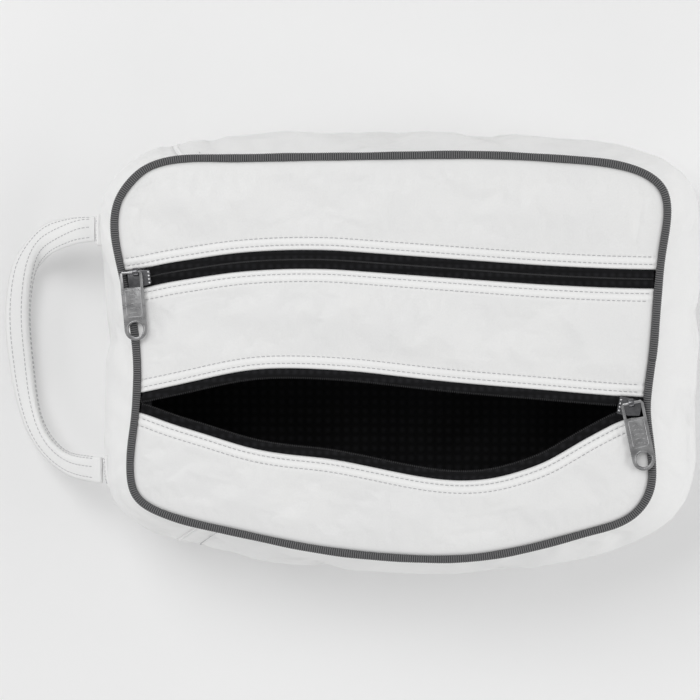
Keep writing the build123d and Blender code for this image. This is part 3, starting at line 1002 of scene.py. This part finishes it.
for label, side in (("upper", 1), ("lower", -1)):
    column = seam_column(side)
    welt(f"gusset_seam_{label}_welt", column)
    beside = (column + (4 if side < 0 else -4)) % wall.shape[1]
    line = wall[2:-2, beside] + np.array([0, 0.35 * side, 0])
    starts, ends = stitch_line(line, 3.4, 0.7)
    outwards = np.tile((0.0, float(side), 0.0), (len(starts), 1))
    finish_piece(capsules(f"gusset_seam_{label}_stitches", starts, ends, outwards, THREAD_R),
                 M_THREAD, "bag")


# ---------------------------------------------------------------- piping
def piping(name, loop, z, node, phase):
    total = np.linalg.norm(np.roll(loop, -1, 0) - loop, axis=1).sum()
    pitch = 1.35
    rings = int(total / pitch) * 4
    centre = resample(loop, rings, True)
    tangent = np.roll(centre, -1, 0) - np.roll(centre, 1, 0)
    tangent /= np.linalg.norm(tangent, axis=1)[:, None]
    outward = np.stack([tangent[:, 1], -tangent[:, 0]], 1)
    sides = 14
    angle = np.arange(sides) * 2 * math.pi / sides
    s = np.arange(rings)[:, None] * total / rings
    rib = 0.5 + 0.5 * np.cos(2 * math.pi * s / pitch + 1.1 * np.sin(angle)[None, :])
    lump = 0.10 * np.sin(s / 17.0 + phase) + 0.07 * np.sin(s / 5.3)
    radius = PIPING_R - 0.32 + 0.30 * rib + lump
    verts = np.zeros((rings, sides, 3))
    verts[..., 0] = centre[:, None, 0] + outward[:, None, 0] * radius * np.cos(angle)
    verts[..., 1] = centre[:, None, 1] + outward[:, None, 1] * radius * np.cos(angle)
    verts[..., 2] = z + radius * np.sin(angle)
    obj = make_object(name, verts.reshape(-1, 3), ring_faces(rings, sides))
    # The rib height also sets the painted shade and highlight in the cord's material.
    attribute(obj, "rib", rib.ravel())
    return finish_piece(obj, M_PIPING, "bag", (node,))


piping("front_piping_cord", FRONT_LOOP, FRONT_PIPING_Z, "front_piping", 0.0)
piping("back_piping_cord", BACK_LOOP, BACK_PIPING_Z, "back_piping", 2.0)


# ---------------------------------------------------------------- back, lining, divider
def disc_sheet(name, loop, z_at, rings=26, columns=240):
    """Filled sheet: rings shrinking from a loop towards its middle."""
    rim = resample(loop, columns, True)
    scale = 1 - np.linspace(0, 1, rings) ** 0.9 * 0.985
    grid = rim[None] * scale[:, None, None]
    xy = grid.reshape(-1, 2)
    z = z_at(xy, np.repeat(1 - scale, columns))
    verts = np.column_stack([xy, z])
    faces = grid_faces(rings, columns, True).tolist()
    faces.append([(rings - 1) * columns + k for k in range(columns)])
    return make_object(name, verts, faces)


def back_height(xy, depth):
    return 0.05 + 1.2 * np.clip(1 - depth / 0.035, 0, 1) ** 2


back = disc_sheet("back_panel_skin", inset_loop(BACK_LOOP, 2.2), back_height)
thicken(back, 1.5)
finish_piece(back, M_SHELL, "bag", ("back_panel",))


def lining_height(xy, depth):
    wrinkle = soft_noise(xy[:, 0], xy[:, 1], np.zeros(len(xy)), 30, 41.0)
    return 3.0 + np.clip(depth * 12, 0, 1) * (1.0 + 1.6 * wrinkle)


floor_lining = disc_sheet("back_lining_sheet", inset_loop(BACK_LOOP, 4.4), lining_height)
thicken(floor_lining, 0.5)
finish_piece(floor_lining, M_LINING, "bag", ("back_lining",))


def wall_lining():
    rows = 30
    grid = wall_grid(5.0, 105.6, 3.6, rows, 8)
    flat = grid.reshape(-1, 3)
    normal = wall_normals(grid)
    wrinkle = soft_noise(flat[:, 0], flat[:, 1], flat[:, 2] * 0.5, 22, 51.0)
    flat[:, :2] -= normal * (0.9 + 1.1 * wrinkle)[:, None]
    obj = make_object("gusset_lining_sheet", flat, grid_faces(rows, grid.shape[1], True))
    thicken(obj, 0.5)
    finish_piece(obj, M_LINING, "bag", ("gusset_lining",))
    return obj


wall_lining()


def divider():
    lo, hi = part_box("divider_panel")
    us, vs = np.linspace(0, 1, 90), np.linspace(0, 1, 26)
    u, v = np.meshgrid(us, vs)
    z = lo.z / MM + (hi.z - lo.z) / MM * v
    ends = []
    for level in z[:, 0]:
        loop = wall_loop(level, 4.8)
        near = np.abs(loop[:, 1] - 20) < 6
        ends.append((loop[near & (loop[:, 0] < 0), 0].mean(), loop[near & (loop[:, 0] > 0), 0].mean()))
    ends = np.array(ends)
    x = ends[:, :1] + (ends[:, 1:] - ends[:, :1]) * u
    edge = np.sin(math.pi * u) * np.sin(math.pi * np.clip(v, 0, 1))
    y = 20 + 1.5 * edge * np.sin(x / 31.0) + 0.8 * edge * np.sin(x / 11.0 + z / 17.0)
    obj = make_object("divider_panel_sheet", np.stack([x, y, z], -1).reshape(-1, 3),
                      grid_faces(26, 90))
    thicken(obj, 0.9, 0.0)
    finish_piece(obj, M_LINING, "bag", ("divider_panel",))
    return obj


divider()


# ---------------------------------------------------------------- zips
TAPE_TOP = DEPTH - 2.1


def clipped_line(line, count=420):
    return resample(inside_loop(line, PANEL_LOOP, 0.6), count)


def zip_profile(side):
    """Offsets from the closed centre line and heights of one tape, outer edge first."""
    offs = [12.0, 9.0, 6.0, 4.4, 3.7, 3.2, 2.6, 1.9, 1.2, 0.7, 0.42, 0.34]
    zs = [0.0, 0.0, 0.05, 0.15, 0.5, 0.95, 1.3, 1.45, 1.42, 1.2, 0.7, -0.3]
    return [side * o for o in offs], [TAPE_TOP + z for z in zs]


def coil_teeth(name, centre_line, side, node, body):
    """Nylon coil: one hooked loop every 1.3 mm, showing at the tape's edge."""
    pitch = 1.32
    _, total = along(centre_line, [0])
    count = int(total / pitch)
    offset = 0.0 if side > 0 else pitch / 2
    at, _ = along(centre_line, np.arange(count) * pitch + offset)
    ahead, _ = along(centre_line, np.arange(count) * pitch + offset + 0.5)
    verts, faces = [], []
    sides = 6
    path = ((2.6, 0.1, -0.25), (1.2, 0.25, -0.15), (0.1, 0.45, 0.0), (-0.45, 0.3, 0.0),
            (-0.35, -0.35, 0.0), (0.4, -0.6, 0.1), (1.6, -0.9, 0.2), (2.6, -1.0, 0.25))
    for p, q in zip(at, ahead):
        t = (q - p) / max(np.linalg.norm(q - p), 1e-9)
        n = np.array([-t[1], t[0]]) * side
        points = [np.array([*(p + n * a + t * c), TAPE_TOP + 0.75 + b]) for a, b, c in path]
        base = len(verts)
        for i, c in enumerate(points):
            d = points[min(i + 1, len(points) - 1)] - points[max(i - 1, 0)]
            d /= np.linalg.norm(d)
            a = np.array([*t, 0.0])
            a -= d * (a @ d)
            a /= np.linalg.norm(a)
            b = np.cross(d, a)
            for k in range(sides):
                angle = 2 * math.pi * k / sides
                verts.append(c + 0.30 * (math.cos(angle) * a + math.sin(angle) * b))
        for f in tube_faces(len(points), sides):
            faces.append([base + v for v in f])
    obj = make_object(name, verts, faces)
    return finish_piece(obj, M_COIL, body, (node,))


def zip_side(prefix, line_fn, side, body, mover=None):
    offs, zs = zip_profile(side)
    lines = [clipped_line(line_fn(o)) for o in offs]
    grid = np.stack([np.column_stack([l, np.full(len(l), z)]) for l, z in zip(lines, zs)])
    obj = make_object(prefix + "_tape_weave", grid.reshape(-1, 3), grid_faces(len(offs), grid.shape[1]))
    thicken(obj, 0.45, 0.0)
    finish_piece(obj, M_TAPE, body, (prefix + "_tape",))
    coil = coil_teeth(prefix + "_coil_teeth", clipped_line(line_fn(0.0)), side,
                      prefix + "_coil", body)
    if mover:
        mover(obj)
        mover(coil)


zip_side("upper_zip_upper", lambda o: offset_open(UPPER_MID, o), 1, "bag")
zip_side("upper_zip_lower", lambda o: offset_open(UPPER_MID, o), -1, None, blend_upper)
zip_side("lower_zip_upper", lambda o: offset_open(LOWER_MID, o), 1, "bag")
zip_side("lower_zip_lower", lambda o: offset_open(LIP_LINE, HALF_BAND + o), -1, None, blend_lower)


# ---------------------------------------------------------------- sliders and pulls
def copy_node(node, name):
    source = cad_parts[node]
    mesh = source.data.copy()
    mesh.name = name
    obj = bpy.data.objects.new(name, mesh)
    bpy.context.scene.collection.objects.link(obj)
    bm = bmesh.new()
    bm.from_mesh(mesh)
    bmesh.ops.remove_doubles(bm, verts=bm.verts, dist=1e-6)
    bmesh.ops.dissolve_limit(bm, angle_limit=math.radians(3), verts=bm.verts, edges=bm.edges)
    bm.to_mesh(mesh)
    bm.free()
    mesh.polygons.foreach_set("use_smooth", [True] * len(mesh.polygons))
    return obj


def metal_piece(node, width, material, body):
    obj = copy_node(node, node + "_cast")
    bevelled(obj, width, 3, 30)
    return finish_piece(obj, material, body, (node,))


def sweep(path, radius, sides=8, closed=True):
    """Round bead along a path that lies roughly flat."""
    p = np.array(path, float)
    t = np.roll(p, -1, 0) - np.roll(p, 1, 0) if closed else np.gradient(p, axis=0)
    t /= np.linalg.norm(t, axis=1)[:, None]
    side = np.cross(t, (0, 0, 1.0))
    side /= np.linalg.norm(side, axis=1)[:, None]
    up = np.cross(side, t)
    angle = np.arange(sides) * 2 * math.pi / sides
    verts = (p[:, None] + radius * (np.cos(angle)[None, :, None] * side[:, None]
                                    + np.sin(angle)[None, :, None] * up[:, None]))
    return verts.reshape(-1, 3), (ring_faces if closed else tube_faces)(len(p), sides)


def merged(name, parts):
    verts, faces, base = [], [], 0
    for v, f in parts:
        verts.append(v)
        faces += [[base + i for i in face] for face in f]
        base += len(v)
    obj = make_object(name, np.vstack(verts), faces)
    return face_outwards(obj)


def dome(centre, radius, height):
    rings, sides = 4, 12
    verts = []
    for i in range(rings):
        a = i / rings * math.pi / 2
        for k in range(sides):
            b = 2 * math.pi * k / sides
            verts.append((centre[0] + radius * math.cos(a) * math.cos(b),
                          centre[1] + radius * math.cos(a) * math.sin(b), centre[2] + height * math.sin(a)))
    verts.append((centre[0], centre[1], centre[2] + height))
    faces = grid_faces(rings, sides, True).tolist()
    faces += [[(rings - 1) * sides + k, (rings - 1) * sides + (k + 1) % sides, rings * sides]
              for k in range(sides)]
    faces.append(list(range(sides))[::-1])
    return np.array(verts), faces


PULLS = {"upper": ((-155.490, 53.9908), 5.0, -3.0), "lower": ((149.173, -25.4913), 12.0, 0.4)}
SLIDERS = {"upper": ((-153.5, 50.00), 6.85), "lower": ((148.2, -28.0), -10.46)}


def pull_relief(level):
    """Raised rim round the pull's hole, and a ribbed panel in a raised frame between hole and window."""
    pivot, turn, side = PULLS[level]
    c, s = math.cos(math.radians(turn)), math.sin(math.radians(turn))

    def place(points):
        p = np.array(points, float)
        x, y = p[:, 0] + side, p[:, 1]
        return np.column_stack([pivot[0] + x * c - y * s, pivot[1] + x * s + y * c,
                                np.full(len(p), PIVOT_Z + PULL_FACE)])
    turns = np.linspace(0, 2 * math.pi, 49)[:-1]
    ring = [(5.35 * math.cos(a), -35.4 + 5.35 * math.sin(a)) for a in turns]
    parts = [sweep(place(ring), 0.38)]
    frame_line = []
    for cx, cy, start in ((3.3, -12.4, 0), (-3.3, -12.4, 90), (-3.3, -26.0, 180), (3.3, -26.0, 270)):
        for a in np.radians(np.linspace(start, start + 90, 7)):
            frame_line.append((cx + 1.5 * math.cos(a), cy + 1.5 * math.sin(a)))
    parts.append(sweep(place(frame_line), 0.32))
    for k in range(5):
        y = -13.6 - 2.8 * k
        bar = [(-3.0, y - 0.9), (-1.0, y), (1.0, y), (3.0, y - 0.9)]
        parts.append(sweep(place(bar), 0.26, 8, False))
    obj = merged(level + "_pull_relief", parts)
    return finish_piece(obj, M_PULL, level + "_pull")


def slider_studs(level):
    """Four small domes across the slider's wide end, in a bright plate that paints glints there."""
    centre, turn = SLIDERS[level]
    c, s = math.cos(math.radians(turn)), math.sin(math.radians(turn))
    x = 5.9 if level == "upper" else -5.9
    parts = [dome((centre[0] + x * c - y * s, centre[1] + x * s + y * c, 111.85), 0.72, 0.6)
             for y in (-3.3, -1.1, 1.1, 3.3)]
    obj = merged(level + "_slider_studs", parts)
    return finish_piece(obj, M_BRIGHT, level + "_slider")


for level in ("upper", "lower"):
    pull_relief(level)
    slider_studs(level)
    metal_piece(level + "_slider_body", 0.35, M_METAL, level + "_slider")
    metal_piece(level + "_slider_bridge", 0.45, M_METAL, level + "_slider")
    metal_piece(level + "_pull_tab", 0.30, M_PULL, level + "_pull")


# ---------------------------------------------------------------- wrist strap
def strap_piece():
    stations = 260
    tracks = []
    for k in range(3):
        dense = open_spline([s[k] for s in STRAP], 30)
        t = np.linspace(0, len(dense) - 1, stations)
        tracks.append(np.stack([np.interp(t, np.arange(len(dense)), dense[:, c]) for c in range(3)], 1))
    crease, outer, inner = tracks
    tangent = np.gradient(crease, axis=0)
    tangent /= np.linalg.norm(tangent, axis=1)[:, None]
    side = np.linspace(-1, 1, 15)
    rings = []
    for i in range(stations):
        row_top, row_bottom = [], []
        a, b = outer[i] - crease[i], inner[i] - crease[i]
        for s in side:
            flank = a if s < 0 else b
            p = crease[i] + flank * abs(s)
            smooth = math.exp(-(s / 0.12) ** 2)
            p = p + (a + b) * 0.045 * smooth
            na = np.cross(a, tangent[i])
            nb = np.cross(tangent[i], b)
            na /= max(np.linalg.norm(na), 1e-9)
            nb /= max(np.linalg.norm(nb), 1e-9)
            if (na + nb)[2] > 0:
                na, nb = -na, -nb
            m = na * np.clip(0.5 - s * 4, 0, 1) + nb * np.clip(0.5 + s * 4, 0, 1)
            m /= np.linalg.norm(m)
            edge = max(0.0, 1 - abs(abs(s) - 1) / 0.12)
            puff = 0.45 * math.sin(math.pi * min(abs(s), 1)) - 0.25 * edge
            groove = 0.28 * (math.exp(-((abs(s) - 0.78) / 0.06) ** 2))
            row_top.append(p - m * (puff - groove))
            row_bottom.append(p + m * (2.4 - 0.5 * edge))
        rings.append(row_top + row_bottom[::-1])
    rings = np.array(rings)
    wobble = soft_noise(rings[:, 0, 0], rings[:, 0, 1], rings[:, 0, 2], 26, 61.0)
    rings += np.array([0, 0, 1.0]) * (0.5 * wobble * np.sin(np.linspace(0, math.pi, stations)))[:, None, None]
    sides = rings.shape[1]
    obj = make_object("wrist_strap", rings.reshape(-1, 3), tube_faces(stations, sides))
    no_stitch_pull(obj)
    return obj, (crease, outer, inner, tangent)


strap, STRAP_TRACKS = strap_piece()
finish_piece(strap, M_STRAP, None, ("handle_strap", "handle_strap_backing"))


def blend_handle(obj):
    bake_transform(obj, "bag", "handle", (-0.1885, 0, 0.0575), (-0.203, 0, 0.0495))


strap_tree = surface_tree(strap)


def strap_stitches(name, flank, share):
    crease, outer, inner, tangent = STRAP_TRACKS
    edge = outer if flank == "outer" else inner
    d = edge - crease
    normal = np.cross(tangent, d) if flank == "outer" else np.cross(d, tangent)
    normal /= np.linalg.norm(normal, axis=1)[:, None]
    if normal[8:40, 2].sum() < 0:
        normal = -normal
    line = crease + d * share + normal * 6
    snapped = []
    for p, n in zip(line, normal):
        hit = strap_tree.ray_cast(Vector(p), Vector(-n), 20)[0]
        snapped.append(np.array(hit) if hit else p - n * 6)
    snapped = np.array(snapped)[6:-6]
    normal = normal[6:-6]
    starts, ends = stitch_line(snapped, STITCH_PITCH, STITCH_SHARE)
    index = [int(np.argmin(np.linalg.norm(snapped - s, axis=1))) for s in starts]
    normals = normal[index]
    obj = capsules(name, starts + normals * 0.1, ends + normals * 0.1, normals, THREAD_R)
    finish_piece(obj, M_THREAD)
    blend_handle(obj)
    return obj


strap_stitches("wrist_strap_outer_stitches", "outer", 0.78)
strap_stitches("wrist_strap_crease_stitches", "outer", 0.28)
strap_stitches("wrist_strap_inner_stitches", "inner", 0.78)
strap_stitches("wrist_strap_inner_crease_stitches", "inner", 0.30)
blend_handle(strap)


def strap_tab(label):
    """End of the strap sewn flat to the side wall, with a box of stitches."""
    node = f"handle_{label}_tab"
    lo, hi = (np.array(c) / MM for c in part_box(node))
    ys = np.linspace(lo[1], hi[1], 16)
    zs = np.linspace(lo[2], hi[2], 20)
    grid = []
    for z in zs:
        loop = wall_loop(z, -3.7)
        left = loop[loop[:, 0] < -120]
        left = left[np.argsort(left[:, 1])]
        grid.append([(np.interp(y, left[:, 1], left[:, 0]), y, z) for y in ys])
    grid = np.array(grid)
    v, u = np.meshgrid(np.linspace(0, 1, len(zs)), np.linspace(0, 1, len(ys)), indexing="ij")
    rim = np.minimum(np.minimum(u, 1 - u) * (hi[1] - lo[1]), np.minimum(v, 1 - v) * (hi[2] - lo[2]))
    grid[..., 0] += 1.3 * np.clip(1 - rim / 1.4, 0, 1) ** 2 + 0.35 * np.exp(-((rim - 3) / 0.8) ** 2)
    obj = make_object(f"handle_{label}_tab_end", grid.reshape(-1, 3), grid_faces(len(zs), len(ys)))
    no_stitch_pull(obj)
    tree = surface_tree(obj)
    y0, y1, z0, z1 = lo[1] + 3, hi[1] - 3, lo[2] + 3, hi[2] - 3
    box = [(y0, z0), (y1, z0), (y1, z1), (y0, z1), (y0, z0), (y1, z1)], [(y0, z1), (y1, z0)]
    starts, ends = [], []
    for path in box:
        for a, b in zip(path[:-1], path[1:]):
            s, e = stitch_line(np.array([a, b], float), 2.9, STITCH_SHARE)
            for pts, bag in ((s, starts), (e, ends)):
                for y, z in pts:
                    hit = tree.ray_cast(Vector((-260, y, z)), Vector((1, 0, 0)))[0]
                    bag.append((hit.x - 0.1 if hit else lo[0], y, z))
    starts, ends = np.array(starts), np.array(ends)
    finish_piece(capsules(f"handle_{label}_tab_stitches", starts, ends,
                          np.tile((-1.0, 0.0, 0.0), (len(starts), 1)), THREAD_R),
                 M_THREAD, "bag")
    thicken(obj, 3.0, -1.0)
    return finish_piece(obj, M_STRAP, "bag", (node,))


strap_tab("upper")
strap_tab("lower")

for node in ("front_seam_binding", "back_seam_binding", "handle_upper_patch", "handle_lower_patch"):
    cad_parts[node].data.materials.clear()
    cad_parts[node].data.materials.append(M_BINDING)


# ---------------------------------------------------------------- stage, light, camera
def stage_material():
    n = Nodes("pale_floor")
    cloud = n.noise(6, 3)
    return n.set(Base_Color=n.ramp(cloud, (0.9, 0.9, 0.9), (0.92, 0.92, 0.92)), Roughness=0.7)


corners = ((-1, -1), (1, -1), (1, 1), (-1, 1))
floor = make_object("floor", [(4000 * x, 4000 * y, -0.3) for x, y in corners], [(0, 1, 2, 3)])
floor.data.materials.append(stage_material())

world = bpy.data.worlds.new("studio")
world.use_nodes = True
world.node_tree.nodes["Background"].inputs[0].default_value = (1, 1, 1, 1)
world.node_tree.nodes["Background"].inputs[1].default_value = 0.5
bpy.context.scene.world = world


LIGHT_TARGET = Vector((0, 0, 0.05))


def area_light(name, position, size, power):
    data = bpy.data.lights.new(name, "AREA")
    data.shape = "RECTANGLE"
    data.size, data.size_y = size
    data.energy = power
    obj = bpy.data.objects.new(name, data)
    bpy.context.scene.collection.objects.link(obj)
    obj.location = position
    obj.rotation_euler = (LIGHT_TARGET - Vector(position)).to_track_quat("-Z", "Y").to_euler()


area_light("key", (-0.7, 1.0, 2.0), (1.2, 1.2), 16)
area_light("right", (2.1, 0.1, 0.75), (1.4, 1.2), 15)
area_light("left", (-2.1, 0.3, 0.75), (1.4, 1.2), 8)
area_light("low", (0.2, -2.0, 0.75), (1.6, 1.0), 7)

camera_data = bpy.data.cameras.new("camera")
camera = bpy.data.objects.new("camera", camera_data)
bpy.context.scene.collection.objects.link(camera)
camera_data.sensor_width = 36
target = Vector((-0.0234, 0.00615, 0.110))
distance = 2.2
camera_data.lens = 36 * distance / 0.4305
right_tilt, up_tilt = math.radians(4.0), math.radians(3.0)
offset = Vector((math.sin(right_tilt), math.sin(up_tilt), 0))
offset.z = math.sqrt(1 - offset.x ** 2 - offset.y ** 2)
camera.location = target + offset * distance
forward = -offset
up = (Vector((0, 1, 0)) - forward * forward.y).normalized()
right_axis = forward.cross(up)
turn = Matrix((right_axis, up, -forward)).transposed().to_4x4()
camera.matrix_world = Matrix.Translation(camera.location) @ turn
camera_data.clip_end = 50
bpy.context.scene.camera = camera
bpy.context.scene.view_settings.view_transform = "Standard"
